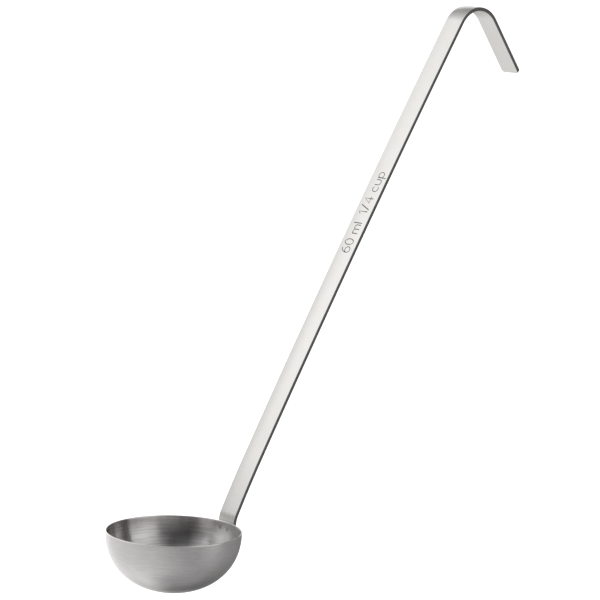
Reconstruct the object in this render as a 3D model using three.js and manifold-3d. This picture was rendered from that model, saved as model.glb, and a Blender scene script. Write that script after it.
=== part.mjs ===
// Kitchen ladle: a drawn bowl and a flat strip handle with a hook, joined by spot welds.
// Millimetres, +Z up. The handle lies in the XZ plane, on the bowl's +X side, and leans towards +X.
// The origin is the seat inside the hook, where the ladle hangs.
import * as THREE from 'three';
import { mergeVertices } from 'three/addons/utils/BufferGeometryUtils.js';
import Module from 'manifold-3d';

// Bowl
const BOWL_RADIUS = 32.2; // outside, at the rim
const BOWL_DEPTH = 28.9; // outside, from the rim to the bottom
const BOWL_WALL = 1.0;
const RIM_EDGE_RADIUS = 0.25; // on both edges of the rim's flat top
const BOWL_FULLNESS = 2.15; // exponent of the profile: 2 is an ellipse, more fills out the flank

// Handle strip, from its welded end to the tip of its hook. A lean is in degrees from the vertical.
const STRIP_WIDTH = 11.2;
const STRIP_THICKNESS = 1.8;
const TAB_LENGTH = 19; // along the bowl's wall
const TAB_LIFT_OFF = 1.4; // length of bare wall between the rim's rounded edge and the tab
const NECK_INSIDE_RADIUS = 12.7;
const LEAN_ABOVE_NECK = 27.4;
const SWEEP_LENGTH = 30;
const LEAN_ABOVE_SWEEP = 30.5;
const SHANK_LENGTH = 242.6;
const LEAN_BELOW_HOOK = 32.8;
const HOOK_INSIDE_RADIUS = 13.3;
const LEAN_OF_LEG = 143.9;
const LEG_LENGTH = 33.2;
const END_CORNER_RADIUS = 1.8;

// Spot welds, two rows of two
const NUGGET_RADIUS = 1.5;
const NUGGET_THICKNESS = 0.5;
const NUGGET_FLAT_RADIUS = 1.0; // where its bevelled edge starts
const WELD_GAP = 2; // between two welds of a row
const UPPER_WELD_MARGIN = 0.3; // from the top of the tab to the upper welds
const LOWER_WELD_MARGIN = 5; // from the end of the tab to the lower welds

// Clearances
const SEAT_GAP = 0.3; // between pieces that touch
const CUT_MARGIN = 1; // how far a cutting body reaches past what it cuts

// Facets
const BOWL_SEGMENTS = 60;
const WALL_STEPS = 13;
const RIM_STEPS = 1; // for each half of an edge's rounding
const PROFILE_POINTS = 48; // on the smooth curve that the wall's steps are taken from
const TAB_STEPS = 6;
const NECK_STEPS = 6;
const SWEEP_STEPS = 3;
const SHANK_STEPS = 5;
const HOOK_STEPS = 16;
const CORNER_STEPS = 5;
const NUGGET_SEGMENTS = 20;

const WELD_SPACING = 2 * NUGGET_RADIUS + WELD_GAP;
const POCKET_RADIUS = NUGGET_RADIUS + SEAT_GAP;
const POCKET_HEIGHT = NUGGET_THICKNESS + 2 * SEAT_GAP;

const wasm = await Module();
wasm.setup();

// A closed geometry as a solid that can be cut
function solidOf(geometry) {
  const bare = geometry.clone();
  bare.deleteAttribute('normal');
  bare.deleteAttribute('uv');
  const merged = mergeVertices(bare);
  const triangles = [];
  for (let i = 0; i < merged.index.count; i += 3) {
    const [a, b, c] = [0, 1, 2].map((corner) => merged.index.getX(i + corner));
    if (a !== b && b !== c && c !== a) triangles.push(a, b, c);
  }
  return new wasm.Manifold(new wasm.Mesh({
    numProp: 3,
    vertProperties: merged.attributes.position.array,
    triVerts: new Uint32Array(triangles),
  }));
}

function geometryOf(solid) {
  const { vertProperties, triVerts } = solid.getMesh();
  const geometry = new THREE.BufferGeometry();
  geometry.setAttribute('position', new THREE.BufferAttribute(vertProperties, 3));
  geometry.setIndex(new THREE.BufferAttribute(triVerts, 1));
  geometry.computeVertexNormals();
  return geometry;
}

function cutFrom(geometry, cutters) {
  let solid = solidOf(geometry);
  for (const cutter of cutters) solid = solid.subtract(solidOf(cutter));
  return geometryOf(solid);
}

// Half profile of a bowl's surface, from the foot of the rim's rounded edge down to the axis
function wallCurve(radius, depth) {
  const power = 2 / BOWL_FULLNESS;
  const points = [];
  for (let i = 0; i <= PROFILE_POINTS; i++) {
    const angle = (i / PROFILE_POINTS) * (Math.PI / 2);
    const across = radius * Math.cos(angle) ** power;
    const down = RIM_EDGE_RADIUS + (depth - RIM_EDGE_RADIUS) * Math.sin(angle) ** power;
    points.push(new THREE.Vector2(across, -down));
  }
  return new THREE.SplineCurve(points);
}

const outerWall = wallCurve(BOWL_RADIUS, BOWL_DEPTH);

// A station is a point of the strip's front face, which lies towards the bowl, and the lean there.
// Its along runs up the strip, and its front points out of the front face.
function station(x, z, lean) {
  return {
    x,
    z,
    lean,
    along: new THREE.Vector3(Math.sin(lean), 0, Math.cos(lean)),
    front: new THREE.Vector3(-Math.cos(lean), 0, Math.sin(lean)),
  };
}

// Station of the tab, at a length down the bowl's wall from the rim's rounded edge
function tabStation(length) {
  const share = length / outerWall.getLength();
  const point = outerWall.getPointAt(share);
  const down = outerWall.getTangentAt(share);
  const lean = Math.atan2(-down.x, -down.y);
  return station(point.x + SEAT_GAP * Math.cos(lean), point.y - SEAT_GAP * Math.sin(lean), lean);
}

// Stations that carry on from one, along a length over which the lean changes evenly
function carryOn(from, length, leanEnd, steps) {
  const stations = [];
  const halfTurn = (leanEnd - from.lean) / steps / 2;
  const chord = (length / steps) * (halfTurn === 0 ? 1 : Math.sin(halfTurn) / halfTurn);
  let last = from;
  for (let i = 0; i < steps; i++) {
    const heading = last.lean + halfTurn;
    const x = last.x + chord * Math.sin(heading);
    const z = last.z + chord * Math.cos(heading);
    last = station(x, z, heading + halfTurn);
    stations.push(last);
  }
  return stations;
}

function bendOn(from, insideRadius, leanEnd, steps) {
  const length = (insideRadius + STRIP_THICKNESS) * (leanEnd - from.lean);
  return carryOn(from, length, leanEnd, steps);
}

const tabTop = tabStation(TAB_LIFT_OFF);
const tabEnd = tabStation(TAB_LIFT_OFF + TAB_LENGTH);
const tab = [];
for (let i = 0; i < TAB_STEPS; i++) {
  tab.push(tabStation(TAB_LIFT_OFF + TAB_LENGTH * (1 - i / TAB_STEPS)));
}
tab.push(tabTop);
const neck = bendOn(tabTop, NECK_INSIDE_RADIUS, THREE.MathUtils.degToRad(LEAN_ABOVE_NECK), NECK_STEPS);
const sweepLean = THREE.MathUtils.degToRad(LEAN_ABOVE_SWEEP);
const sweep = carryOn(neck.at(-1), SWEEP_LENGTH, sweepLean, SWEEP_STEPS);
const hookLean = THREE.MathUtils.degToRad(LEAN_BELOW_HOOK);
const shank = carryOn(sweep.at(-1), SHANK_LENGTH, hookLean, SHANK_STEPS);
const hookStart = shank.at(-1);
const hook = bendOn(hookStart, HOOK_INSIDE_RADIUS, THREE.MathUtils.degToRad(LEAN_OF_LEG), HOOK_STEPS);
const legEnd = carryOn(hook.at(-1), LEG_LENGTH, hook.at(-1).lean, 1)[0];

// Matrix with its X along the strip, times a sign, and its Z out of the front face, at a station
function frameAt(place, sign, offset) {
  const along = place.along.clone().multiplyScalar(sign);
  const across = place.front.clone().cross(along);
  const matrix = new THREE.Matrix4().makeBasis(along, across, place.front);
  matrix.setPosition(place.front.clone().multiplyScalar(offset).add(new THREE.Vector3(place.x, 0, place.z)));
  return matrix;
}

// Cutter that ends the strip at a station, with rounded corners. The sign is 1 at its upper end.
function endCutter(place, sign) {
  const edge = STRIP_WIDTH / 2;
  const centre = edge - END_CORNER_RADIUS;
  const outside = edge + CUT_MARGIN;
  const past = 2 * CUT_MARGIN;
  const outline = new THREE.Shape();
  outline.moveTo(-END_CORNER_RADIUS, outside);
  outline.lineTo(-END_CORNER_RADIUS, edge);
  outline.absarc(-END_CORNER_RADIUS, centre, END_CORNER_RADIUS, Math.PI / 2, 0, true);
  outline.absarc(-END_CORNER_RADIUS, -centre, END_CORNER_RADIUS, 0, -Math.PI / 2, true);
  outline.lineTo(-END_CORNER_RADIUS, -outside);
  outline.lineTo(past, -outside);
  outline.lineTo(past, outside);
  const depth = STRIP_THICKNESS + 2 * CUT_MARGIN;
  const body = new THREE.ExtrudeGeometry(outline, { depth, bevelEnabled: false, curveSegments: CORNER_STEPS });
  return body.applyMatrix4(frameAt(place, sign, CUT_MARGIN - depth));
}

// Places of the welds: the middle of the seat gap, on both sides of the strip's middle line
const weldRows = {
  upper: tabStation(TAB_LIFT_OFF + UPPER_WELD_MARGIN + NUGGET_RADIUS),
  lower: tabStation(TAB_LIFT_OFF + TAB_LENGTH - LOWER_WELD_MARGIN - NUGGET_RADIUS),
};
const weldSides = { left: WELD_SPACING / 2, right: -WELD_SPACING / 2 };
const welds = [];
for (const [row, place] of Object.entries(weldRows)) {
  for (const [side, across] of Object.entries(weldSides)) {
    const matrix = frameAt(place, 1, SEAT_GAP / 2);
    matrix.premultiply(new THREE.Matrix4().makeTranslation(0, across, 0));
    welds.push({ name: `spot_weld_${row}_${side}`, matrix });
  }
}

// Pocket that a weld fills, in the tab and in the bowl's wall
function weldPocket(weld) {
  const body = new THREE.CylinderGeometry(POCKET_RADIUS, POCKET_RADIUS, POCKET_HEIGHT, NUGGET_SEGMENTS);
  return body.rotateX(Math.PI / 2).applyMatrix4(weld.matrix);
}

function weldNugget(weld) {
  const half = NUGGET_THICKNESS / 2;
  const profile = [
    new THREE.Vector2(0, -half),
    new THREE.Vector2(NUGGET_FLAT_RADIUS, -half),
    new THREE.Vector2(NUGGET_RADIUS, 0),
    new THREE.Vector2(NUGGET_FLAT_RADIUS, half),
    new THREE.Vector2(0, half),
  ];
  const body = new THREE.LatheGeometry(profile, NUGGET_SEGMENTS);
  return cutFrom(body.rotateX(Math.PI / 2).applyMatrix4(weld.matrix), []);
}

// Drawn bowl: up the outside, over the rim's flat top and down the inside
function bowlGeometry() {
  const innerWall = wallCurve(BOWL_RADIUS - BOWL_WALL, BOWL_DEPTH - BOWL_WALL);
  const rim = new THREE.Path();
  const inset = RIM_EDGE_RADIUS;
  rim.absarc(BOWL_RADIUS - inset, -inset, inset, 0, Math.PI / 2, false);
  rim.absarc(BOWL_RADIUS - BOWL_WALL + inset, -inset, inset, Math.PI / 2, Math.PI, false);
  const profile = [
    ...outerWall.getSpacedPoints(WALL_STEPS).reverse(),
    ...rim.getPoints(RIM_STEPS).slice(1, -1),
    ...innerWall.getSpacedPoints(WALL_STEPS),
  ];
  const body = new THREE.LatheGeometry(profile, BOWL_SEGMENTS).rotateX(Math.PI / 2);
  return cutFrom(body, welds.map(weldPocket));
}

// Strip, bent in its side view and cut to its rounded ends
function handleGeometry() {
  const below = carryOn(tabEnd, -CUT_MARGIN, tabEnd.lean, 1);
  const above = carryOn(legEnd, CUT_MARGIN, legEnd.lean, 1);
  const stations = [...below, ...tab, ...neck, ...sweep, ...shank, ...hook, legEnd, ...above];
  const frontFace = stations.map((at) => new THREE.Vector2(at.x, at.z));
  const backFace = stations.map((at) => new THREE.Vector2(
    at.x - STRIP_THICKNESS * at.front.x,
    at.z - STRIP_THICKNESS * at.front.z,
  ));
  const outline = new THREE.Shape([...frontFace, ...backFace.reverse()]);
  const strip = new THREE.ExtrudeGeometry(outline, { depth: STRIP_WIDTH, bevelEnabled: false });
  strip.rotateX(Math.PI / 2).translate(0, STRIP_WIDTH / 2, 0);
  return cutFrom(strip, [endCutter(tabEnd, -1), endCutter(legEnd, 1), ...welds.map(weldPocket)]);
}

const steel = { color: 0xc6c5c2, metalness: 1 };
const finishes = {
  bowl: new THREE.MeshStandardMaterial({ ...steel, roughness: 0.36 }),
  handle: new THREE.MeshStandardMaterial({ ...steel, roughness: 0.42 }),
  weld: new THREE.MeshStandardMaterial({ color: 0x8d8a86, metalness: 1, roughness: 0.5 }),
};

function piece(name, geometry, material) {
  const mesh = new THREE.Mesh(geometry, material);
  mesh.name = name;
  return mesh;
}

// Seat: the highest point inside the hook
const hookCentre = new THREE.Vector3(hookStart.x, 0, hookStart.z)
  .addScaledVector(hookStart.front, -(HOOK_INSIDE_RADIUS + STRIP_THICKNESS));
const hookSeat = hookCentre.add(new THREE.Vector3(0, 0, HOOK_INSIDE_RADIUS));

const ladle = new THREE.Group();
ladle.name = 'ladle';
ladle.position.copy(hookSeat).negate();
ladle.add(piece('bowl', bowlGeometry(), finishes.bowl));
ladle.add(piece('handle', handleGeometry(), finishes.handle));
for (const weld of welds) ladle.add(piece(weld.name, weldNugget(weld), finishes.weld));

export default ladle;
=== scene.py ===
import math

import bmesh
import bpy
from mathutils import Matrix, Vector


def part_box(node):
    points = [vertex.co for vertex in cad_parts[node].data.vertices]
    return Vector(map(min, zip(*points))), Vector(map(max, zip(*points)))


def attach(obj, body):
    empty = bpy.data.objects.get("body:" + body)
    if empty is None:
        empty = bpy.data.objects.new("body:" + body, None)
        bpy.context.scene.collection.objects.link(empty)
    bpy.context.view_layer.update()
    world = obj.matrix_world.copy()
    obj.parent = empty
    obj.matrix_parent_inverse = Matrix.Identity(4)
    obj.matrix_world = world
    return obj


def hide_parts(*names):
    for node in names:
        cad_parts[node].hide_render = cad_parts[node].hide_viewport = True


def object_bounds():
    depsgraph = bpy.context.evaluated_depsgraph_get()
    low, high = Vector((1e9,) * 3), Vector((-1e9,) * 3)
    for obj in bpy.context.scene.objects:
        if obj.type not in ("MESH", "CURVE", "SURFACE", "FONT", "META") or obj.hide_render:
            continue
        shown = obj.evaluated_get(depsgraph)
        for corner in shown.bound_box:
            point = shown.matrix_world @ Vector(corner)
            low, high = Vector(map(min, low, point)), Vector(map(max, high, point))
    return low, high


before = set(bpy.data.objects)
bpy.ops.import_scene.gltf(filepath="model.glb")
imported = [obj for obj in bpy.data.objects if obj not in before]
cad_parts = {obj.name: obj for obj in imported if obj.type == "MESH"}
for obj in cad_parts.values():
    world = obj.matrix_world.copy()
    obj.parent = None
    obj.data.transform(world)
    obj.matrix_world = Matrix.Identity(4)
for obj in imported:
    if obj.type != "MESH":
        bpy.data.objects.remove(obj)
cad_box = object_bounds()

MM = 0.001
ACROSS = Vector((0, 1, 0))
UP = Vector((0, 0, 1))

# The bowl: its size is its solid's, the rest is the sheet that it is drawn from
bowl_low, bowl_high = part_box("bowl")
BOWL_RADIUS = (bowl_high.y - bowl_low.y) / 2
BOWL_DEPTH = bowl_high.z - bowl_low.z
RIM_CENTRE = Vector(((bowl_low.x + bowl_high.x) / 2, 0, bowl_high.z))
BOWL_WALL = 1.0 * MM
RIM_EDGE_RADIUS = 0.25 * MM
RIM_THINNING = 0.45 * MM
THINNING_DEPTH = 9 * MM

# The power of the bowl's round section: 2 is an ellipse, and more is fuller
BOWL_FULLNESS = 2.15

# The strip that the handle is bent from, and its bends from the tab up to the hook's leg
handle_low, handle_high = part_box("handle")
STRIP_WIDTH = handle_high.y - handle_low.y
STRIP_THICKNESS = 1.8 * MM
STRIP_CROWN = 0.2 * MM
EDGE_ROUND = 0.2 * MM
END_CORNER_RADIUS = 1.8 * MM
SEAT_GAP = 0.3 * MM
TAB_LENGTH = 19 * MM
TAB_LIFT_OFF = 1.4 * MM
NECK_INSIDE_RADIUS = 12.7 * MM
LEAN_ABOVE_NECK = math.radians(27.4)
SWEEP_LENGTH = 30 * MM
LEAN_ABOVE_SWEEP = math.radians(30.5)
SHANK_LENGTH = 242.6 * MM
LEAN_BELOW_HOOK = math.radians(32.8)
HOOK_INSIDE_RADIUS = 13.3 * MM
LEAN_OF_LEG = math.radians(143.9)
LEG_LENGTH = 33.2 * MM

# The spot welds: rows down the tab, and the shallow dents that the electrodes leave on both sides
WELD_DEPTHS = (3.2 * MM, 13.9 * MM)
WELD_SIDES = (-2.5 * MM, 2.5 * MM)
DENT_RADIUS = 1.1 * MM
DENT_DEPTH = 0.12 * MM
DENT_SLOPE_SHARE = 0.5

# The soft swell of the wall's inside over the tab, where the welds have drawn it flat
SWELL_DEPTH = 11.5 * MM
SWELL_RISE = 1.1 * MM
SWELL_ACROSS = 11 * MM
SWELL_ALONG = 9.5 * MM

# The capacity mark in the front of the shank, with its gaps in shares of a figure's height
MARK_WORDS = "60 ml  1/4 cup"
MARK_MIDDLE = 132.5 * MM
MARK_HEIGHT = 5.6 * MM
MARK_STROKE_RADIUS = 0.26 * MM
MARK_DEPTH = 0.16 * MM
LETTER_GAP = 0.2
WORD_GAP = 0.36

# How finely the forms are divided
WALL_STEPS = 720
OUTER_ROWS = 60
INNER_ROWS = 92
RIM_EDGE_STEPS = 4
BOWL_STEPS = 240
TAB_STEPS = 32
NECK_STEPS = 14
SWEEP_STEPS = 12
SHANK_STEPS = 60
HOOK_STEPS = 44
LEG_STEPS = 8
STRIP_COLUMNS = 22
END_CORNER_TURNS = (0, 28, 52, 72, 90)
EDGE_SEGMENTS = 3
DENT_RINGS = 4
ARC_STEPS = 12
STROKE_SEGMENTS = 3

# What counts as one vertex, one row of the strip, a sharp edge, a smooth one, and facing a way
MERGE_DISTANCE = 0.002 * MM
ROW_REACH = 0.02 * MM
SHARP_ANGLE = math.radians(60)
SMOOTH_ANGLE = math.radians(35)
FACING_SHARE = 0.7

# The bowl's brushing: lines to a metre, and how much they change on their way round
OUTSIDE_LINES = 3800
OUTSIDE_CHANGE = 4
INSIDE_LINES = 1700
INSIDE_CHANGE = 1.5
BRUSHING_ANISOTROPY = 0.9
BRUSHING_TURN = 0.25

# The patch of the wall's inside that is dressed by hand after the welding, made rougher, and its palest
# part, where a paler colour is painted in as a highlight
DRESSED_DEPTH = 6 * MM
DRESSED_ACROSS = -8 * MM
DRESSED_REACH = 18 * MM
TAB_HIGHLIGHT_DEPTH = 9.5 * MM
TAB_HIGHLIGHT_ACROSS = -3.5 * MM
TAB_HIGHLIGHT_REACH = 9.5 * MM
PATCH_CORE_SHARE = 0.4

# The dark tint round each weld, full in its core and gone at its reach
TINT_CORE = 0.3 * MM
TINT_REACH = 1.4 * MM
TINT_STRENGTH = 0.6

# The strip's streaks to a metre, and how much darker they are
STREAKS_ACROSS = 900
STREAKS_ALONG = 14
STREAK_SHADE = 0.91

# The marks that all the steels share: a name, a scale and a detail
SATIN_MARKS = (("Mottle", 190, 4), ("Grain", 3200, 2))
NOISE_ROUGHNESS = 0.6

# The ranges that most values of a noise and of the mottling lie in, and the mottling's strengths
NOISE_RANGE = (0.3, 0.7)
MOTTLE_RANGE = (0.35, 0.65)
BOWL_MOTTLING = 0.35
STRIP_MOTTLING = 0.4

# The steels' colours: tints, and levels of grey, in pairs where a noise goes from one to the other
BOWL_TINT = (1, 0.972, 0.966)
STRIP_TINT = (1, 0.983, 0.953)
STRAW = (0.44, 0.4, 0.33, 1)
OUTSIDE_GREYS = (0.6, 0.71)
INSIDE_GREYS = (0.5, 0.78)
# The paler grey of the painted highlight on the wall's inside by the tab
TAB_HIGHLIGHT_GREY = 0.98
MOTTLED_GREY = 0.58
TINTED_GREY = 0.2
# The paler grey painted along the rim's top as a highlight
RIM_HIGHLIGHT_GREY = 0.9
STRIP_FRONT_GREY = 0.81
STRIP_BACK_GREY = 0.69
SHEARED_GREYS = (0.13, 0.22)
ETCHED_GREYS = (0.24, 0.36)
FUSED_GREY = 0.38

# The steels' roughnesses, from smooth to rough, and their bumps' depths and strengths
BOWL_ROUGHNESS = (0.18, 0.26)
DRESSED_ROUGHNESS = 0.46
STRIP_ROUGHNESS = (0.22, 0.3)
SHEARED_ROUGHNESS = (0.4, 0.52)
ETCHED_ROUGHNESS = (0.6, 0.75)
FUSED_ROUGHNESS = (0.5, 0.65)
BOWL_BUMP = (0.02 * MM, 0.06)
STRIP_BUMP = (0.02 * MM, 0.15)
SHEARED_BUMP = (0.05 * MM, 0.5)
ETCHED_BUMP = (0.03 * MM, 0.5)
FUSED_BUMP = (0.05 * MM, 0.5)

# The camera, found from the rim and the strip's edges in a square picture
IMAGE_SIDE = 600
FOCAL_PIXELS = 2800
RIM_CENTRE_PIXEL = (173.72, 530.54)
CAMERA_TURN = math.radians(42.93)
CAMERA_TILT = math.radians(8.52)
CAMERA_ROLL = math.radians(1.76)
CAMERA_DISTANCE = 1.3179
CAMERA_SIGHT = 100
SENSOR_WIDTH = 36
LEVEL_RIGHT = Vector((math.cos(CAMERA_TURN), -math.sin(CAMERA_TURN), 0))
LEVEL_FORWARD = Vector((math.sin(CAMERA_TURN), math.cos(CAMERA_TURN), 0))

# The studio: a white room with a white floor, a weak lamp, and a tent that the steel mirrors
WHITE = (1, 1, 1, 1)
ROOM_LIGHT = 0.5
FLOOR_DROP = 0.5
FLOOR_SIZE = 60
FLOOR_COLOUR = (0.9, 0.9, 0.9, 1)
FLOOR_ROUGHNESS = 0.9
FLOOR_GLOW = 0.8
LAMP_SIZE = 2.4
LAMP_ENERGY = 2
LAMP_PLACE = (-0.4, -0.2, 1.5)
TENT_RADIUS = 2.2
TENT_SEGMENTS = 64
TENT_RINGS = 32

# The tent's zones from below upwards, in stops: degrees from the camera's side to its right, brightness
TENT_NADIR = 0.38
TENT_UNDER = (
    (-180, 0.14), (-168, 0.16), (-155, 0.45), (-140, 0.85), (-125, 1.05), (-85, 0.93), (-40, 0.74),
    (10, 0.53), (57, 0.4), (98, 0.36), (139, 0.23), (165, 0.14), (180, 0.14),
)
TENT_LEVEL = (
    (-180, 0.6), (-166, 0.95), (-150, 1.12), (-117, 0.93), (-60, 0.77), (-32, 0.7), (-7, 0.55),
    (18, 0.44), (38, 0.41), (70, 0.55), (105, 0.39), (130, 0.33), (160, 0.25), (180, 0.25),
)
TENT_LOW = (
    (-180, 1), (-165, 1.05), (-140, 1.2), (-120, 0.5), (-95, 0.42), (-70, 0.43), (-50, 0.18),
    (-30, 0.04), (10, 0.06), (21, 0.16), (31, 0.62), (50, 1.02), (82, 1.14), (90, 0.1),
    (150, 0.1), (180, 1),
)
TENT_HIGH = (
    (-180, 0.95), (-130, 0.95), (-110, 0.85), (-101, 1.42), (-92, 1.2), (-60, 0.6), (-30, 0.06),
    (0, 0.06), (20, 0.27), (32, 0.65), (50, 0.88), (80, 0.76), (92, 0.15), (145, 0.1), (180, 0.95),
)
TENT_UPPER = (
    (-180, 0.25), (-150, 0.45), (-130, 0.75), (-112, 1.15), (-90, 1.27), (-50, 0.47), (-30, 0.17),
    (5, 0.1), (30, 0.46), (50, 0.65), (70, 0.53), (110, 0.22), (140, 0.15), (180, 0.25),
)
TENT_ZENITH = (
    (-180, 0.18), (-130, 0.58), (-100, 0.76), (-70, 0.62), (-10, 0.1), (10, 0.1), (50, 0.31),
    (110, 0.13), (180, 0.18),
)

# Each zone takes over from the one below between two heights, -1 straight below and 1 straight above
TENT_ZONES = (
    (-1, -0.9, TENT_UNDER), (-0.86, -0.56, TENT_LEVEL), (-0.1, 0, TENT_LOW),
    (0.16, 0.44, TENT_HIGH), (0.46, 0.54, TENT_UPPER), (0.66, 0.78, TENT_ZENITH),
)


# Lines that the bowl and the handle are built on

def wall_curve(radius, depth, thinning):
    """Closely spaced points down a wall of the bowl, from under the rim to its lowest point."""
    points = []
    for step in range(WALL_STEPS + 1):
        turn = math.pi / 2 * step / WALL_STEPS
        out = radius * max(math.cos(turn), 0) ** (2 / BOWL_FULLNESS)
        down = RIM_EDGE_RADIUS + (depth - RIM_EDGE_RADIUS) * math.sin(turn) ** (2 / BOWL_FULLNESS)
        out += thinning * max(1 - (down - RIM_EDGE_RADIUS) / THINNING_DEPTH, 0) ** 2
        points.append(RIM_CENTRE + Vector((out, 0, -down)))
    points[-1].x = RIM_CENTRE.x
    return points


def place_along(points, length):
    """The place and the heading at a length along a line of points."""
    for start, end in zip(points, points[1:]):
        step = (end - start).length
        heading = (end - start).normalized()
        if length <= step:
            return start + heading * length, heading
        length -= step
    return points[-1], heading


def spread_along(points, rows):
    """Evenly spaced places along a line of points, both ends included."""
    total = sum((end - start).length for start, end in zip(points, points[1:]))
    return [place_along(points, total * row / rows)[0] for row in range(rows + 1)]


OUTER_WALL = wall_curve(BOWL_RADIUS, BOWL_DEPTH, 0)
INNER_WALL = wall_curve(BOWL_RADIUS - BOWL_WALL, BOWL_DEPTH - BOWL_WALL, RIM_THINNING)


def front_of(lean):
    """The way the strip's front faces where the strip leans back by an angle."""
    return Vector((-math.cos(lean), 0, math.sin(lean)))


def tab_station(depth):
    """The strip's front and lean where it lies on the bowl, at a length down the outer wall."""
    place, heading = place_along(OUTER_WALL, depth)
    lean = math.atan2(-heading.x, -heading.z)
    return place - front_of(lean) * SEAT_GAP, lean


def carry_on(stations, length, end_lean, steps):
    """Carries the strip on by a length while its lean turns evenly to a new one."""
    place, lean = stations[-1]
    turn = (end_lean - lean) / steps
    for step in range(steps):
        middle = lean + turn * (step + 0.5)
        place = place + Vector((math.sin(middle), 0, math.cos(middle))) * (length / steps)
        stations.append((place, lean + turn * (step + 1)))


def corner_depths():
    """How far the rows that round an end's corners lie from that end."""
    return [END_CORNER_RADIUS * (1 - math.cos(math.radians(turn))) for turn in END_CORNER_TURNS]


def corner_shares():
    """The share of the strip's width that is left at each of those rows."""
    shares = []
    for turn in END_CORNER_TURNS:
        lost = 2 * END_CORNER_RADIUS * (1 - math.sin(math.radians(turn)))
        shares.append(1 - lost / STRIP_WIDTH)
    return shares


def strip_stations():
    """Stations along the middle of the strip's front, from the tab's end to the leg's tip."""
    tab_end = TAB_LIFT_OFF + TAB_LENGTH
    stations = [tab_station(tab_end - depth) for depth in corner_depths()]
    tab_rest = TAB_LENGTH - END_CORNER_RADIUS
    for step in range(1, TAB_STEPS + 1):
        stations.append(tab_station(tab_end - END_CORNER_RADIUS - tab_rest * step / TAB_STEPS))
    neck_length = (NECK_INSIDE_RADIUS + STRIP_THICKNESS) * (LEAN_ABOVE_NECK - stations[-1][1])
    carry_on(stations, neck_length, LEAN_ABOVE_NECK, NECK_STEPS)
    carry_on(stations, SWEEP_LENGTH, LEAN_ABOVE_SWEEP, SWEEP_STEPS)
    carry_on(stations, SHANK_LENGTH, LEAN_BELOW_HOOK, SHANK_STEPS)
    hook_length = (HOOK_INSIDE_RADIUS + STRIP_THICKNESS) * (LEAN_OF_LEG - LEAN_BELOW_HOOK)
    carry_on(stations, hook_length, LEAN_OF_LEG, HOOK_STEPS)
    carry_on(stations, LEG_LENGTH - END_CORNER_RADIUS, LEAN_OF_LEG, LEG_STEPS)
    depths = corner_depths()[::-1]
    for outer, inner in zip(depths, depths[1:]):
        carry_on(stations, outer - inner, LEAN_OF_LEG, 1)
    return stations


STATIONS = strip_stations()
SHANK_START = len(END_CORNER_TURNS) + TAB_STEPS + NECK_STEPS + SWEEP_STEPS - 1


def weld_places():
    """For each spot weld: its places inside the bowl and on the tab's back, and the way out."""
    places = []
    for depth in WELD_DEPTHS:
        wall, _ = place_along(OUTER_WALL, depth)
        front, lean = tab_station(depth)
        inward = front_of(lean)
        for side in WELD_SIDES:
            sideways = ACROSS * side
            sag = inward * (side ** 2 / (2 * BOWL_RADIUS))
            inside = wall + inward * BOWL_WALL + sideways + sag
            back = front - inward * STRIP_THICKNESS + sideways
            places.append((inside, back, -inward))
    return places


# Work on meshes

def draw_line(name, points):
    """A new line of edges: a plane merged to one vertex, then pulled out from point to point."""
    bpy.ops.object.select_all(action="DESELECT")
    bpy.ops.mesh.primitive_plane_add(size=MM, location=points[0])
    line = bpy.context.object
    line.name = name
    line.data.name = name
    bpy.ops.object.mode_set(mode="EDIT")
    bpy.ops.mesh.merge(type="CENTER")
    for start, end in zip(points, points[1:]):
        bpy.ops.mesh.extrude_vertices_move(TRANSFORM_OT_translate={"value": end - start})
    bpy.ops.object.mode_set(mode="OBJECT")
    bpy.ops.object.transform_apply(location=True, rotation=False, scale=False)
    return line


def select_vertices(piece, wanted):
    """In edit mode, selects the vertices whose place passes a test, and nothing else."""
    bpy.ops.mesh.select_mode(type="VERT")
    bpy.ops.mesh.select_all(action="DESELECT")
    mesh = bmesh.from_edit_mesh(piece.data)
    for vertex in mesh.verts:
        vertex.select_set(wanted(vertex.co))
    mesh.select_flush_mode()
    bmesh.update_edit_mesh(piece.data)


def press_dent(piece, centre, push):
    """In edit mode, presses a round shallow dent, deepest in its middle, with a slope at its edge."""
    depth = push.normalized()
    for ring in range(DENT_RINGS):
        reach = DENT_RADIUS * (1 - ring * DENT_SLOPE_SHARE / DENT_RINGS)

        def in_ring(place, reach=reach):
            off = place - centre
            away = off.dot(depth)
            return abs(away) < BOWL_WALL / 2 and (off - depth * away).length < reach

        select_vertices(piece, in_ring)
        bpy.ops.transform.translate(value=push / DENT_RINGS)


def displace(piece, name, rise, group="", direction="NORMAL"):
    """Moves the vertices of a group, or all of them, by a rise along their normals or an axis."""
    push = piece.modifiers.new(name, "DISPLACE")
    push.direction = direction
    push.strength = rise
    push.mid_level = 0
    push.vertex_group = group
    bpy.ops.object.modifier_apply(modifier=name)


def give_material(piece, *materials):
    """Puts the materials in the piece's slots, in order."""
    piece.data.materials.clear()
    for material in materials:
        piece.data.materials.append(material)


# The bowl

def swell_wall(bowl):
    """Swells the wall's inside softly inwards over the tab, below its upper welds."""
    centre, heading = place_along(OUTER_WALL, SWELL_DEPTH)
    swell = bowl.vertex_groups.new(name="swell")
    for vertex in bowl.data.vertices:
        off = vertex.co - centre
        far = (off.y / SWELL_ACROSS) ** 2 + (off.dot(heading) / SWELL_ALONG) ** 2
        if far < 1 and vertex.co.x > RIM_CENTRE.x and vertex.normal.x < 0:
            swell.add([vertex.index], (1 - far) ** 2, "REPLACE")
    displace(bowl, "swell_inwards", -SWELL_RISE, swell.name, "X")


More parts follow.
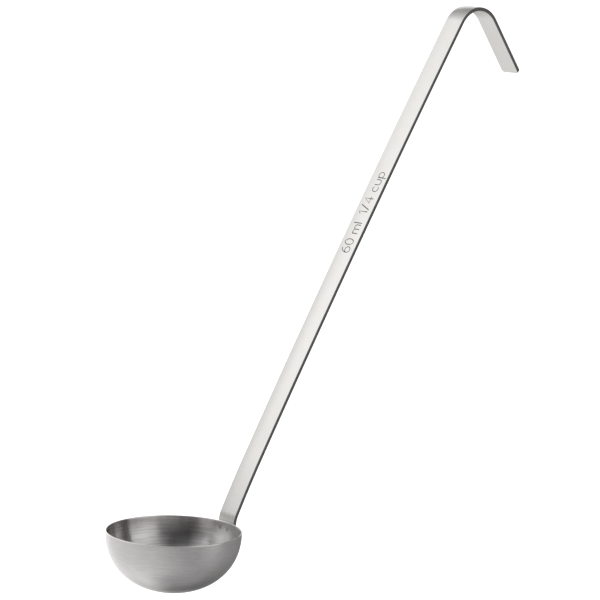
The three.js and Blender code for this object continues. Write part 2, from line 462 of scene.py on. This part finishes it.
def rim_section():
    """Points over the rim, round its outer edge and then its inner one."""
    points = []
    rim_inside = BOWL_RADIUS - BOWL_WALL + RIM_THINNING
    for out, start in ((BOWL_RADIUS - RIM_EDGE_RADIUS, 0), (rim_inside + RIM_EDGE_RADIUS, 90)):
        middle = RIM_CENTRE + Vector((out, 0, -RIM_EDGE_RADIUS))
        for step in range(RIM_EDGE_STEPS + 1):
            turn = math.radians(start + 90 * step / RIM_EDGE_STEPS)
            points.append(middle + Vector((math.cos(turn), 0, math.sin(turn))) * RIM_EDGE_RADIUS)
    return points


def make_bowl(steel):
    """The drawn bowl: its section, up to the rim, over it and down inside, spun round its axis."""
    outside = spread_along(OUTER_WALL, OUTER_ROWS)[::-1]
    inside = spread_along(INNER_WALL, INNER_ROWS)
    bowl = draw_line("drawn_bowl", outside + rim_section()[1:-1] + inside)
    bpy.ops.object.mode_set(mode="EDIT")
    bpy.ops.mesh.select_all(action="SELECT")
    bpy.ops.mesh.spin(steps=BOWL_STEPS, angle=math.tau, center=RIM_CENTRE, axis=UP)
    bpy.ops.mesh.select_all(action="SELECT")
    bpy.ops.mesh.remove_doubles(threshold=MERGE_DISTANCE)
    bpy.ops.mesh.normals_make_consistent(inside=False)
    for place, _, outward in weld_places():
        press_dent(bowl, place, outward * DENT_DEPTH)
    bpy.ops.object.mode_set(mode="OBJECT")
    swell_wall(bowl)
    bpy.ops.object.shade_smooth()
    give_material(bowl, steel)
    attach(bowl, "root")
    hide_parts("bowl")


# The handle

def round_strip_ends(strip):
    """In edit mode, draws the rows next to each end together, so that the ends' corners are round."""
    ends = len(END_CORNER_TURNS)
    for rows in (STATIONS[:ends], STATIONS[:-ends - 1:-1]):
        for (place, _), share in zip(rows, corner_shares()):
            if share == 1:
                continue

            def in_row(spot, place=place):
                return (Vector((spot.x, 0, spot.z)) - place).length < ROW_REACH

            select_vertices(strip, in_row)
            bpy.ops.transform.resize(value=(1, share, 1), center_override=place)


def turn_front_out(sheet):
    """Turns the sheet's faces over if they face the strip's back."""
    middle, lean = STATIONS[len(STATIONS) // 2]
    nearest = min(sheet.data.polygons, key=lambda face: (face.center - middle).length)
    if nearest.normal.dot(front_of(lean)) < 0:
        bpy.ops.object.mode_set(mode="EDIT")
        bpy.ops.mesh.select_all(action="SELECT")
        bpy.ops.mesh.flip_normals()
        bpy.ops.object.mode_set(mode="OBJECT")


def crown_rise(across):
    """How far the strip's front stands off its flat line, at a distance from its middle."""
    return STRIP_CROWN * (0.5 - (2 * across / STRIP_WIDTH) ** 2)


def crown_strip(sheet):
    """Gives the flat sheet the low crown of rolled strip, half of it forward and half of it back."""
    edges = sheet.vertex_groups.new(name="edges")
    for vertex in sheet.data.vertices:
        edges.add([vertex.index], (2 * vertex.co.y / STRIP_WIDTH) ** 2, "REPLACE")
    displace(sheet, "edges_back", -STRIP_CROWN, edges.name)
    displace(sheet, "middle_forward", STRIP_CROWN / 2)


def thicken_strip(sheet):
    """Gives the sheet its thickness, towards the strip's back."""
    thickness = sheet.modifiers.new("thickness", "SOLIDIFY")
    thickness.thickness = STRIP_THICKNESS
    thickness.offset = -1
    thickness.use_even_offset = True
    bpy.ops.object.modifier_apply(modifier="thickness")


def bend_strip():
    """The strip: its front drawn along its bends, then its width, thickness, edges and dents."""
    start = ACROSS * (-STRIP_WIDTH / 2)
    strip = draw_line("strip_handle", [place + start for place, _ in STATIONS])
    bpy.ops.object.mode_set(mode="EDIT")
    bpy.ops.mesh.select_all(action="SELECT")
    step = ACROSS * (STRIP_WIDTH / STRIP_COLUMNS)
    for _ in range(STRIP_COLUMNS):
        bpy.ops.mesh.extrude_region_move(TRANSFORM_OT_translate={"value": step})
    round_strip_ends(strip)
    bpy.ops.object.mode_set(mode="OBJECT")
    turn_front_out(strip)
    crown_strip(strip)
    thicken_strip(strip)
    bpy.ops.object.mode_set(mode="EDIT")
    bpy.ops.mesh.select_mode(type="EDGE")
    bpy.ops.mesh.select_all(action="DESELECT")
    bpy.ops.mesh.edges_select_sharp(sharpness=SHARP_ANGLE)
    bpy.ops.mesh.bevel(offset=EDGE_ROUND, segments=EDGE_SEGMENTS, affect="EDGES", clamp_overlap=False)
    for _, back, outward in weld_places():
        press_dent(strip, back, outward * -DENT_DEPTH)
    bpy.ops.object.mode_set(mode="OBJECT")
    return strip


def arc(centre, size, start, end):
    """Points of a letter's round stroke, an arc of an ellipse between two angles in degrees."""
    points = []
    for step in range(ARC_STEPS + 1):
        turn = math.radians(start + (end - start) * step / ARC_STEPS)
        points.append((centre[0] + size[0] * math.cos(turn), centre[1] + size[1] * math.sin(turn)))
    return points


def letter_strokes():
    """Each sign's width and its strokes, in shares of a figure's height."""
    return {
        "6": (0.56, [arc((0.28, 0.3), (0.28, 0.3), 0, 360), arc((0.5, 0.3), (0.5, 0.7), 180, 95)]),
        "0": (0.56, [arc((0.28, 0.5), (0.28, 0.5), 0, 360)]),
        "1": (0.22, [[(0, 0.78), (0.22, 1), (0.22, 0)]]),
        "4": (0.6, [[(0.44, 0), (0.44, 1), (0, 0.3), (0.6, 0.3)]]),
        "/": (0.46, [[(0, -0.06), (0.46, 1.06)]]),
        "m": (0.84, [
            [(0, 0), (0, 0.64)],
            arc((0.21, 0.42), (0.21, 0.22), 180, 0) + [(0.42, 0)],
            arc((0.63, 0.42), (0.21, 0.22), 180, 0) + [(0.84, 0)],
        ]),
        "l": (0, [[(0, 0), (0, 1)]]),
        "c": (0.48, [arc((0.28, 0.32), (0.28, 0.32), 48, 312)]),
        "u": (0.5, [[(0, 0.64)] + arc((0.25, 0.26), (0.25, 0.26), 180, 360) + [(0.5, 0.64)]]),
        "p": (0.54, [[(0, 0.64), (0, -0.3)], arc((0.27, 0.32), (0.27, 0.32), 0, 360)]),
    }


def mark_strokes():
    """The mark's strokes in shares of a figure's height, and the mark's length."""
    signs = letter_strokes()
    strokes = []
    along = 0
    for sign in MARK_WORDS:
        if sign == " ":
            along += WORD_GAP
            continue
        width, lines = signs[sign]
        for line in lines:
            strokes.append([(along + x, y) for x, y in line])
        along += width + LETTER_GAP
    return strokes, along - LETTER_GAP


def mark_cutter(etched):
    """Round bars along the mark's strokes, lying partly sunk in the front of the shank."""
    shank = [place for place, _ in STATIONS[SHANK_START:SHANK_START + SHANK_STEPS + 1]]
    middle, heading = place_along(shank, MARK_MIDDLE)
    front = heading.cross(ACROSS)
    strokes, length = mark_strokes()
    bars = []
    for stroke in strokes:
        points = []
        for x, y in stroke:
            along = heading * ((x - length / 2) * MARK_HEIGHT)
            across = (y - 0.5) * MARK_HEIGHT
            lift = MARK_STROKE_RADIUS - MARK_DEPTH + crown_rise(across)
            points.append(middle + along + ACROSS * across + front * lift)
        bars.append(draw_line("mark_stroke", points))
    bpy.ops.object.select_all(action="DESELECT")
    for bar in bars:
        bar.select_set(True)
    bpy.context.view_layer.objects.active = bars[0]
    bpy.ops.object.join()
    bpy.ops.object.convert(target="CURVE")
    cutter = bpy.context.object
    cutter.data.bevel_depth = MARK_STROKE_RADIUS
    cutter.data.bevel_resolution = STROKE_SEGMENTS
    cutter.data.use_fill_caps = True
    bpy.ops.object.convert(target="MESH")
    cutter = bpy.context.object
    give_material(cutter, etched)
    return cutter


def cut_mark(strip, cutter):
    """Cuts the mark into the strip and takes the cutter away."""
    bpy.ops.object.select_all(action="DESELECT")
    strip.select_set(True)
    bpy.context.view_layer.objects.active = strip
    cut = strip.modifiers.new("mark", "BOOLEAN")
    cut.operation = "DIFFERENCE"
    cut.solver = "EXACT"
    cut.use_self = True
    cut.material_mode = "TRANSFER"
    cut.object = cutter
    bpy.ops.object.modifier_apply(modifier="mark")
    bpy.data.objects.remove(cutter)


def faces_back(face):
    """Whether a face of the strip looks to its back, by the lean at the nearest station."""
    middle = Vector((face.center.x, 0, face.center.z))
    nearest = min(STATIONS, key=lambda station: (station[0] - middle).length)
    return face.normal.dot(front_of(nearest[1])) < -FACING_SHARE


def make_handle(front, sheared, back, etched):
    """The strip handle: a pale front, sheared edges, a duller back and an etched mark."""
    strip = bend_strip()
    materials = (front, sheared, back)
    give_material(strip, *materials)
    for face in strip.data.polygons:
        if abs(face.normal.y) > FACING_SHARE:
            face.material_index = materials.index(sheared)
        elif faces_back(face):
            face.material_index = materials.index(back)
    cut_mark(strip, mark_cutter(etched))
    bpy.ops.object.shade_smooth_by_angle(angle=SMOOTH_ANGLE)
    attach(strip, "root")
    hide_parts("handle")


# Steps that the materials are made of

def add_node(tree, kind, values=(), **settings):
    """A new node in a tree, with its settings and the values of its sockets by number or name."""
    node = tree.nodes.new(kind)
    for name, setting in settings.items():
        setattr(node, name, setting)
    for socket, value in dict(values).items():
        node.inputs[socket].default_value = value
    return node


def feed(tree, entry, source):
    """Links a socket to a node's entry, or sets the entry to a plain value."""
    if isinstance(source, bpy.types.NodeSocket):
        tree.links.new(source, entry)
    else:
        entry.default_value = source


def number_step(tree, operation, first, second=None):
    """A step of arithmetic on a number and, where it takes one, a second number."""
    node = add_node(tree, "ShaderNodeMath", operation=operation)
    feed(tree, node.inputs[0], first)
    if second is not None:
        feed(tree, node.inputs[1], second)
    return node.outputs[0]


def vector_step(tree, operation, first, second=None):
    """A step of arithmetic on a vector and, where it takes one, a second vector."""
    node = add_node(tree, "ShaderNodeVectorMath", operation=operation)
    feed(tree, node.inputs[0], first)
    if second is not None:
        feed(tree, node.inputs[1], second)
    gives_number = operation in ("LENGTH", "DISTANCE", "DOT_PRODUCT")
    return node.outputs["Value" if gives_number else "Vector"]


def remap(tree, value, low, high, to_low, to_high):
    """A value of a socket spread from one range to another, held at its ends."""
    node = add_node(tree, "ShaderNodeMapRange", {1: low, 2: high, 3: to_low, 4: to_high})
    tree.links.new(value, node.inputs[0])
    return node.outputs[0]


def grey(level, tint=BOWL_TINT):
    """A level of steel's grey, a little warm, as a colour."""
    return (level * tint[0], level * tint[1], level * tint[2], 1)


def blend_colours(tree, share, first, second):
    """One colour going over into another by a share; each is a colour or a socket."""
    node = add_node(tree, "ShaderNodeMix", data_type="RGBA")
    for entry, source in ((0, share), (6, first), (7, second)):
        feed(tree, node.inputs[entry], source)
    return node.outputs[2]


def blend_greys(tree, share, levels, tint=BOWL_TINT):
    """One level of grey going over into another by a share."""
    return blend_colours(tree, share, grey(levels[0], tint), grey(levels[1], tint))


def link_bump(tree, shader, height, distance, strength):
    """A bump of a depth in metres on the shader's normal."""
    bump = add_node(tree, "ShaderNodeBump", {"Strength": strength, "Distance": distance})
    tree.links.new(height, bump.inputs["Height"])
    tree.links.new(bump.outputs[0], shader.inputs["Normal"])


def satin_group():
    """Worked steel's own marks: broad mottling and fine grain."""
    group = bpy.data.node_groups.new("worked_satin", "ShaderNodeTree")
    group.interface.new_socket("Vector", in_out="INPUT", socket_type="NodeSocketVector")
    for name, _, _ in SATIN_MARKS:
        group.interface.new_socket(name, in_out="OUTPUT", socket_type="NodeSocketFloat")
    entry = add_node(group, "NodeGroupInput")
    out = add_node(group, "NodeGroupOutput")
    for name, scale, detail in SATIN_MARKS:
        values = {"Scale": scale, "Detail": detail, "Roughness": NOISE_ROUGHNESS}
        noise = add_node(group, "ShaderNodeTexNoise", values)
        group.links.new(entry.outputs[0], noise.inputs["Vector"])
        group.links.new(noise.outputs[0], out.inputs[name])
    return group


def start_steel(name, satin):
    """A new metal material with the piece's own coordinates and the shared satin marks in it."""
    material = bpy.data.materials.new(name)
    material.use_nodes = True
    tree = material.node_tree
    shader = tree.nodes["Principled BSDF"]
    shader.inputs["Metallic"].default_value = 1
    place = add_node(tree, "ShaderNodeTexCoord").outputs["Object"]
    marks = add_node(tree, "ShaderNodeGroup", node_tree=satin)
    tree.links.new(place, marks.inputs[0])
    return material, tree, shader, place, marks


# The materials

def brushing_lines(tree, place, per_metre, change):
    """Lines round the bowl's axis, from its brushing on a lathe."""
    centred = vector_step(tree, "SUBTRACT", place, RIM_CENTRE)
    level = vector_step(tree, "MULTIPLY", centred, (1, 1, 0))
    way_round = vector_step(tree, "NORMALIZE", level)
    ring = vector_step(tree, "MULTIPLY", way_round, (change, change, 0))
    upright = vector_step(tree, "MULTIPLY", centred, UP * per_metre)
    out = number_step(tree, "MULTIPLY", vector_step(tree, "LENGTH", level), per_metre)
    lines = add_node(tree, "ShaderNodeTexNoise", {"Scale": 1, "Detail": 3}, noise_dimensions="4D")
    tree.links.new(vector_step(tree, "ADD", ring, upright), lines.inputs["Vector"])
    tree.links.new(out, lines.inputs["W"])
    return lines.outputs[0]


def faces_inward(tree, place):
    """A mask that is 1 on the inside of the bowl's wall and 0 on its outside."""
    outward = vector_step(tree, "SUBTRACT", place, RIM_CENTRE)
    normal = add_node(tree, "ShaderNodeNewGeometry").outputs["True Normal"]
    return remap(tree, vector_step(tree, "DOT_PRODUCT", normal, outward), -MM, MM, 1, 0)


def patch_by_tab(tree, place, depth, across, reach):
    """A mask round a place on the wall's inside by the tab: 1 in its middle, 0 from its reach on."""
    middle, _ = place_along(INNER_WALL, depth)
    off = vector_step(tree, "DISTANCE", place, middle + ACROSS * across)
    return remap(tree, off, reach * PATCH_CORE_SHARE, reach, 1, 0)


def weld_tint(tree, place):
    """A mask of the tint that the welds leave on the bowl's inside."""
    mask = 0
    for inside, _, _ in weld_places():
        off = vector_step(tree, "DISTANCE", place, inside)
        spot = remap(tree, off, TINT_CORE, TINT_REACH, TINT_STRENGTH, 0)
        mask = number_step(tree, "MAXIMUM", spot, mask)
    return mask


def bowl_colour(tree, place, lines, mottle):
    """The bowl's colour: brushed, tinted by the tab, and with painted highlights by the tab and along
    the rim.
    """
    outside = blend_greys(tree, remap(tree, lines, *NOISE_RANGE, 0, 1), OUTSIDE_GREYS)
    coarse = brushing_lines(tree, place, INSIDE_LINES, INSIDE_CHANGE)
    inside = blend_greys(tree, remap(tree, coarse, *NOISE_RANGE, 0, 1), INSIDE_GREYS)
    # A painted highlight: the wall's inside by the tab is painted paler, standing in for a bright
    # reflection there
    tab_highlight = patch_by_tab(tree, place, TAB_HIGHLIGHT_DEPTH, TAB_HIGHLIGHT_ACROSS, TAB_HIGHLIGHT_REACH)
    inside = blend_colours(tree, tab_highlight, inside, grey(TAB_HIGHLIGHT_GREY))
    colour = blend_colours(tree, faces_inward(tree, place), outside, inside)
    mottled = remap(tree, mottle, *MOTTLE_RANGE, 0, BOWL_MOTTLING)
    colour = blend_colours(tree, mottled, colour, grey(MOTTLED_GREY))
    colour = blend_colours(tree, weld_tint(tree, place), colour, grey(TINTED_GREY))
    # A painted highlight: the rim's top is painted paler, standing in for the bright line that it
    # reflects
    height = vector_step(tree, "DOT_PRODUCT", place, UP)
    edge_foot = RIM_CENTRE.z - RIM_EDGE_RADIUS
    rim_highlight = remap(tree, height, edge_foot - RIM_EDGE_RADIUS, edge_foot, 0, 1)
    return blend_colours(tree, rim_highlight, colour, grey(RIM_HIGHLIGHT_GREY))


def bowl_steel(satin):
    """Satin steel brushed round the bowl, duller where it is dressed by the tab."""
    material, tree, shader, place, marks = start_steel("bowl_brushed_satin", satin)
    lines = brushing_lines(tree, place, OUTSIDE_LINES, OUTSIDE_CHANGE)
    colour = bowl_colour(tree, place, lines, marks.outputs["Mottle"])
    tree.links.new(colour, shader.inputs["Base Color"])
    brushed = remap(tree, lines, *NOISE_RANGE, *BOWL_ROUGHNESS)
    dressed = patch_by_tab(tree, place, DRESSED_DEPTH, DRESSED_ACROSS, DRESSED_REACH)
    dulled = remap(tree, dressed, 0, 1, BOWL_ROUGHNESS[0], DRESSED_ROUGHNESS)
    tree.links.new(number_step(tree, "MAXIMUM", brushed, dulled), shader.inputs["Roughness"])
    shader.inputs["Anisotropic"].default_value = BRUSHING_ANISOTROPY
    shader.inputs["Anisotropic Rotation"].default_value = BRUSHING_TURN
    tangent = add_node(tree, "ShaderNodeTangent", direction_type="RADIAL", axis="Z")
    tree.links.new(tangent.outputs[0], shader.inputs["Tangent"])
    link_bump(tree, shader, lines, *BOWL_BUMP)
    return material


def rolling_streaks(tree, place):
    """Streaks along the leaning strip: fine across it, long up it, and alike through its thickness."""
    turned = add_node(tree, "ShaderNodeMapping", {"Rotation": (0, -LEAN_ABOVE_SWEEP, 0)})
    tree.links.new(place, turned.inputs["Vector"])
    drawn = vector_step(tree, "MULTIPLY", turned.outputs[0], (0, STREAKS_ACROSS, STREAKS_ALONG))
    values = {"Scale": 1, "Detail": 4, "Roughness": NOISE_ROUGHNESS}
    streaks = add_node(tree, "ShaderNodeTexNoise", values)
    tree.links.new(drawn, streaks.inputs["Vector"])
    return streaks.outputs[0]


def strip_satin(name, satin, pale):
    """A face of the strip: rolled satin with faint streaks along it, softly mottled."""
    material, tree, shader, place, marks = start_steel(name, satin)
    dark = pale * STREAK_SHADE
    streaks = remap(tree, rolling_streaks(tree, place), *NOISE_RANGE, 0, 1)
    colour = blend_greys(tree, streaks, (dark, pale), STRIP_TINT)
    mottled = remap(tree, marks.outputs["Mottle"], *MOTTLE_RANGE, 0, STRIP_MOTTLING)
    colour = blend_colours(tree, mottled, colour, grey(dark, STRIP_TINT))
    tree.links.new(colour, shader.inputs["Base Color"])
    tree.links.new(remap(tree, streaks, 0, 1, *STRIP_ROUGHNESS), shader.inputs["Roughness"])
    link_bump(tree, shader, marks.outputs["Grain"], *STRIP_BUMP)
    return material


def sheared_edge(satin):
    """The strip's sheared sides: darker and rougher than its faces."""
    material, tree, shader, _, marks = start_steel("sheared_edge", satin)
    grain = marks.outputs["Grain"]
    colour = blend_greys(tree, remap(tree, grain, *NOISE_RANGE, 0, 1), SHEARED_GREYS)
    tree.links.new(colour, shader.inputs["Base Color"])
    rough = remap(tree, marks.outputs["Mottle"], *MOTTLE_RANGE, *SHEARED_ROUGHNESS)
    tree.links.new(rough, shader.inputs["Roughness"])
    link_bump(tree, shader, grain, *SHEARED_BUMP)
    return material


def etched_groove(satin):
    """The floor of the mark's strokes: dull and dark from the etching."""
    material, tree, shader, _, marks = start_steel("etched_groove", satin)
    grain = marks.outputs["Grain"]
    colour = blend_greys(tree, remap(tree, grain, *NOISE_RANGE, 0, 1), ETCHED_GREYS)
    tree.links.new(colour, shader.inputs["Base Color"])
    rough = remap(tree, grain, *NOISE_RANGE, *ETCHED_ROUGHNESS)
    tree.links.new(rough, shader.inputs["Roughness"])
    link_bump(tree, shader, grain, *ETCHED_BUMP)
    return material


def weld_steel(satin):
    """Fused metal of the spot welds: dull, with a straw tint here and there."""
    material, tree, shader, _, marks = start_steel("fused_weld", satin)
    grain = marks.outputs["Grain"]
    mottled = remap(tree, marks.outputs["Mottle"], *MOTTLE_RANGE, 0, 1)
    colour = blend_colours(tree, mottled, grey(FUSED_GREY), STRAW)
    tree.links.new(colour, shader.inputs["Base Color"])
    rough = remap(tree, grain, *NOISE_RANGE, *FUSED_ROUGHNESS)
    tree.links.new(rough, shader.inputs["Roughness"])
    link_bump(tree, shader, grain, *FUSED_BUMP)
    return material


# The camera and the studio

def camera_axes():
    """The camera's right, up and forward, from its turn, tilt and roll."""
    forward = LEVEL_FORWARD * math.cos(CAMERA_TILT) - UP * math.sin(CAMERA_TILT)
    up = LEVEL_RIGHT.cross(forward)
    rolled_right = LEVEL_RIGHT * math.cos(CAMERA_ROLL) + up * math.sin(CAMERA_ROLL)
    rolled_up = up * math.cos(CAMERA_ROLL) - LEVEL_RIGHT * math.sin(CAMERA_ROLL)
    return rolled_right, rolled_up, forward


def place_camera():
    """The camera that sees the rim's middle at its pixel, from the photograph's side."""
    right, up, forward = camera_axes()
    across = (RIM_CENTRE_PIXEL[0] - IMAGE_SIDE / 2) / FOCAL_PIXELS
    down = (RIM_CENTRE_PIXEL[1] - IMAGE_SIDE / 2) / FOCAL_PIXELS
    place = RIM_CENTRE - (forward + right * across - up * down) * CAMERA_DISTANCE
    data = bpy.data.cameras.new("camera")
    data.sensor_width = SENSOR_WIDTH
    data.lens = SENSOR_WIDTH * FOCAL_PIXELS / IMAGE_SIDE
    data.clip_end = CAMERA_SIGHT
    camera = bpy.data.objects.new("camera", data)
    turned = Matrix((right, up, -forward)).transposed().to_4x4()
    camera.matrix_world = Matrix.Translation(place) @ turned
    bpy.context.scene.collection.objects.link(camera)
    bpy.context.scene.camera = camera


def seen_directly(tree):
    """1 for rays from the camera and for those that metal or glass sends on, else 0."""
    path = add_node(tree, "ShaderNodeLightPath")
    seen = path.outputs["Is Camera Ray"]
    for name in ("Is Glossy Ray", "Is Transmission Ray"):
        seen = number_step(tree, "MAXIMUM", seen, path.outputs[name])
    return seen


def white_world():
    """A white room, at full white only where it is seen and softer where it lights."""
    world = bpy.data.worlds.new("white_room")
    bpy.context.scene.world = world
    world.use_nodes = True
    tree = world.node_tree
    background = tree.nodes["Background"]
    background.inputs["Color"].default_value = WHITE
    strength = remap(tree, seen_directly(tree), 0, 1, ROOM_LIGHT, 1)
    tree.links.new(strength, background.inputs["Strength"])


def white_floor():
    """A white floor well below the hanging ladle, with a glow that only the camera sees."""
    material = bpy.data.materials.new("white_floor")
    material.use_nodes = True
    tree = material.node_tree
    shader = tree.nodes["Principled BSDF"]
    shader.inputs["Base Color"].default_value = FLOOR_COLOUR
    shader.inputs["Roughness"].default_value = FLOOR_ROUGHNESS
    shader.inputs["Specular IOR Level"].default_value = 0
    shader.inputs["Emission Color"].default_value = WHITE
    glow = remap(tree, seen_directly(tree), 0, 1, 0, FLOOR_GLOW)
    tree.links.new(glow, shader.inputs["Emission Strength"])
    bpy.ops.object.select_all(action="DESELECT")
    bpy.ops.mesh.primitive_plane_add(size=FLOOR_SIZE, location=(0, 0, cad_box[0].z - FLOOR_DROP))
    floor = bpy.context.object
    floor.name = "floor"
    floor.visible_glossy = False
    give_material(floor, material)


def level_ramp(tree, degrees, stops):
    """Brightness round the tent, from stops of a turn in degrees from the camera's side and a level."""
    ramp = add_node(tree, "ShaderNodeValToRGB")
    elements = ramp.color_ramp.elements
    while len(elements) < len(stops):
        elements.new(0.5)
    for element, (turn, level) in zip(elements, stops):
        element.position = (turn + 180) / 360
        element.color = (level, level, level, 1)
    tree.links.new(remap(tree, degrees, -180, 180, 0, 1), ramp.inputs[0])
    return ramp.outputs[0]


def tent_cloth():
    """The tent's glowing cloth: its brightness changes round each zone, and upwards between zones."""
    material = bpy.data.materials.new("tent_cloth")
    material.use_nodes = True
    material.cycles.emission_sampling = "NONE"
    tree = material.node_tree
    tree.nodes.remove(tree.nodes["Principled BSDF"])
    way = vector_step(tree, "NORMALIZE", add_node(tree, "ShaderNodeTexCoord").outputs["Object"])
    to_right = vector_step(tree, "DOT_PRODUCT", way, LEVEL_RIGHT)
    to_camera = vector_step(tree, "DOT_PRODUCT", way, -LEVEL_FORWARD)
    height = vector_step(tree, "DOT_PRODUCT", way, UP)
    degrees = number_step(tree, "DEGREES", number_step(tree, "ARCTAN2", to_right, to_camera))
    lit = (TENT_NADIR, TENT_NADIR, TENT_NADIR, 1)
    for start, end, stops in TENT_ZONES:
        zone = level_ramp(tree, degrees, stops)
        lit = blend_colours(tree, remap(tree, height, start, end, 0, 1), lit, zone)
    cloth = add_node(tree, "ShaderNodeEmission")
    tree.links.new(lit, cloth.inputs["Color"])
    tree.links.new(cloth.outputs[0], tree.nodes["Material Output"].inputs["Surface"])
    return material


def light_tent():
    """A tent of cloth all round the ladle, which the camera looks through."""
    bpy.ops.object.select_all(action="DESELECT")
    bpy.ops.mesh.primitive_uv_sphere_add(
        segments=TENT_SEGMENTS, ring_count=TENT_RINGS, radius=TENT_RADIUS
    )
    tent = bpy.context.object
    tent.name = "light_tent"
    tent.visible_camera = False
    tent.visible_shadow = False
    give_material(tent, tent_cloth())


def soft_lamp():
    """A wide weak lamp overhead."""
    data = bpy.data.lights.new("overhead_lamp", "AREA")
    data.shape = "DISK"
    data.size = LAMP_SIZE
    data.energy = LAMP_ENERGY
    lamp = bpy.data.objects.new("overhead_lamp", data)
    lamp.location = LAMP_PLACE
    bpy.context.scene.collection.objects.link(lamp)


place_camera()
white_world()
white_floor()
light_tent()
soft_lamp()

satin_marks = satin_group()
make_bowl(bowl_steel(satin_marks))
strip_front = strip_satin("strip_front", satin_marks, STRIP_FRONT_GREY)
strip_back = strip_satin("strip_back", satin_marks, STRIP_BACK_GREY)
make_handle(strip_front, sheared_edge(satin_marks), strip_back, etched_groove(satin_marks))
fused_steel = weld_steel(satin_marks)
for name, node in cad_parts.items():
    if name.startswith("spot_weld"):
        give_material(node, fused_steel)

bpy.context.scene.view_settings.view_transform = "Standard"

bpy.context.view_layer.update()
